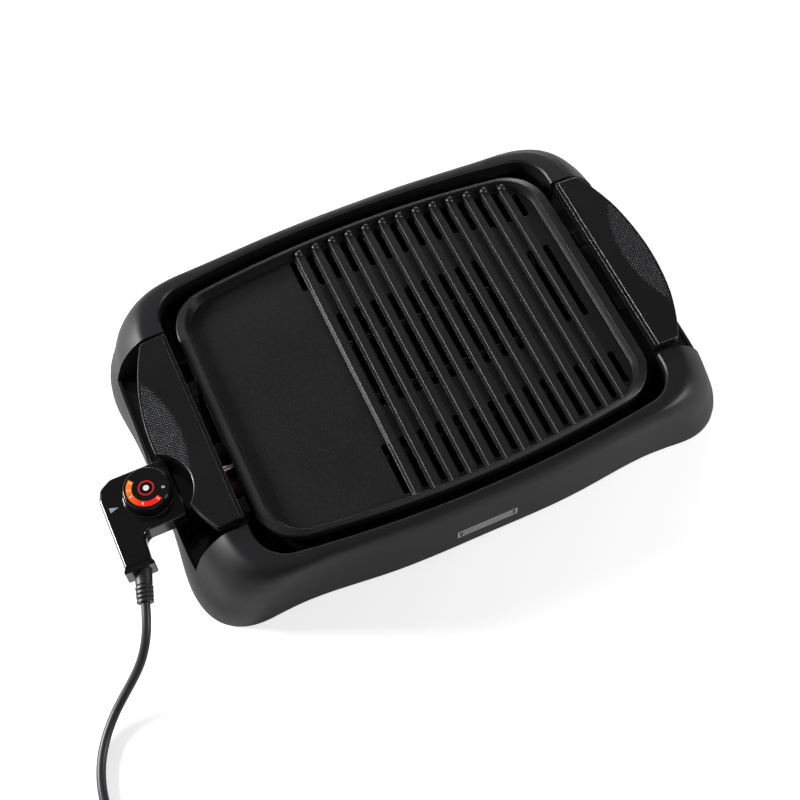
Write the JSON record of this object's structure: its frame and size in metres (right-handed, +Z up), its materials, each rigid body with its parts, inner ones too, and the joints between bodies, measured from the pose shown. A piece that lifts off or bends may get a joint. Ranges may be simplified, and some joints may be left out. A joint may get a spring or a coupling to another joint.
{
  "type": "electric griddle",
  "caption": "Electric griddle with a slotted, part-ribbed cooking plate that lifts off a deep black base, two side handles and a plug-in control with a dial and mains lead.",
  "frame": {"origin": "on the table, under the middle of the bounding box of the griddle and its control (the lead left out)", "axes": "+X along the length, away from the control; +Y to the back, away from the badge; +Z up"},
  "size_m": [0.6111, 0.5356, 0.0895],
  "materials": {
    "base_plastic": "fine matte texture",
    "gloss_plastic": "glossy moulded",
    "handle_plastic": "satin moulded",
    "cast_coating": "non-stick coated casting, fine speckle",
    "steel": "satin",
    "brass": "bright",
    "element_sheath": "dark heat-toned sheath",
    "ceramic": "red-brown unglazed",
    "contact_metal": "plated",
    "rubber": "matte",
    "cord_jacket": "satin PVC",
    "dial_print": "black with a coloured scale",
    "pointer_mark": "pale blue inlay",
    "badge_metal": "satin, blank",
    "tray_metal": "dark coated sheet"
  },
  "bodies": {
    "base": {"base_housing": "base_plastic", "base_tub": "gloss_plastic", "base_screws": "steel", "rubber_feet": "rubber", "front_badge": "badge_metal"},
    "tray": {"drip_tray": "tray_metal"},
    "plate": {"cooking_plate": "cast_coating", "heating_element": "element_sheath", "element_straps": "steel", "strap_screws": "steel", "terminal_bracket": "steel", "terminal_insulators": "ceramic", "terminal_pins": "contact_metal", "right_handle_top": "handle_plastic", "right_handle_underside": "handle_plastic", "right_handle_brackets": "steel", "left_handle_top": "handle_plastic", "left_handle_underside": "handle_plastic", "left_handle_brackets": "steel", "bracket_washers": "brass", "bracket_screws": "brass", "handle_screws": "steel"},
    "control": {"control_upper": "gloss_plastic", "control_lower": "gloss_plastic", "thermostat": "ceramic", "sensing_rod": "contact_metal", "contact_sleeves": "contact_metal", "housing_screws": "steel", "pointer_mark": "pointer_mark", "strain_relief": "cord_jacket", "cord": "cord_jacket", "cord_tail": "cord_jacket", "cord_coil": "cord_jacket", "coil_tie": "rubber", "plug_body": "cord_jacket", "plug_pins": "contact_metal"},
    "dial": {"dial_skirt": "gloss_plastic", "dial_cap": "dial_print", "dial_shaft": "steel"}
  },
  "joints": [
    {"name": "plate_lift", "type": "slide", "parent": "base", "child": "plate", "axis": [0, 0, 1], "range_m": [0, 0.12]},
    {"name": "tray_lift", "type": "slide", "parent": "base", "child": "tray", "axis": [0, 0, 1], "range_m": [0, 0.06]},
    {"name": "control_pull", "type": "slide", "parent": "plate", "child": "control", "axis": [-1, 0, 0], "range_m": [0, 0.09]},
    {"name": "dial_turn", "type": "hinge", "parent": "control", "child": "dial", "pos_m": [-0.22422, -0.0335, 0.08], "axis": [0, 0, 1], "range_deg": [-106, 210]}
  ],
  "couplings": [
    {"joint": "tray_lift", "follows": "plate_lift", "ratio": 0.5}
  ]
}
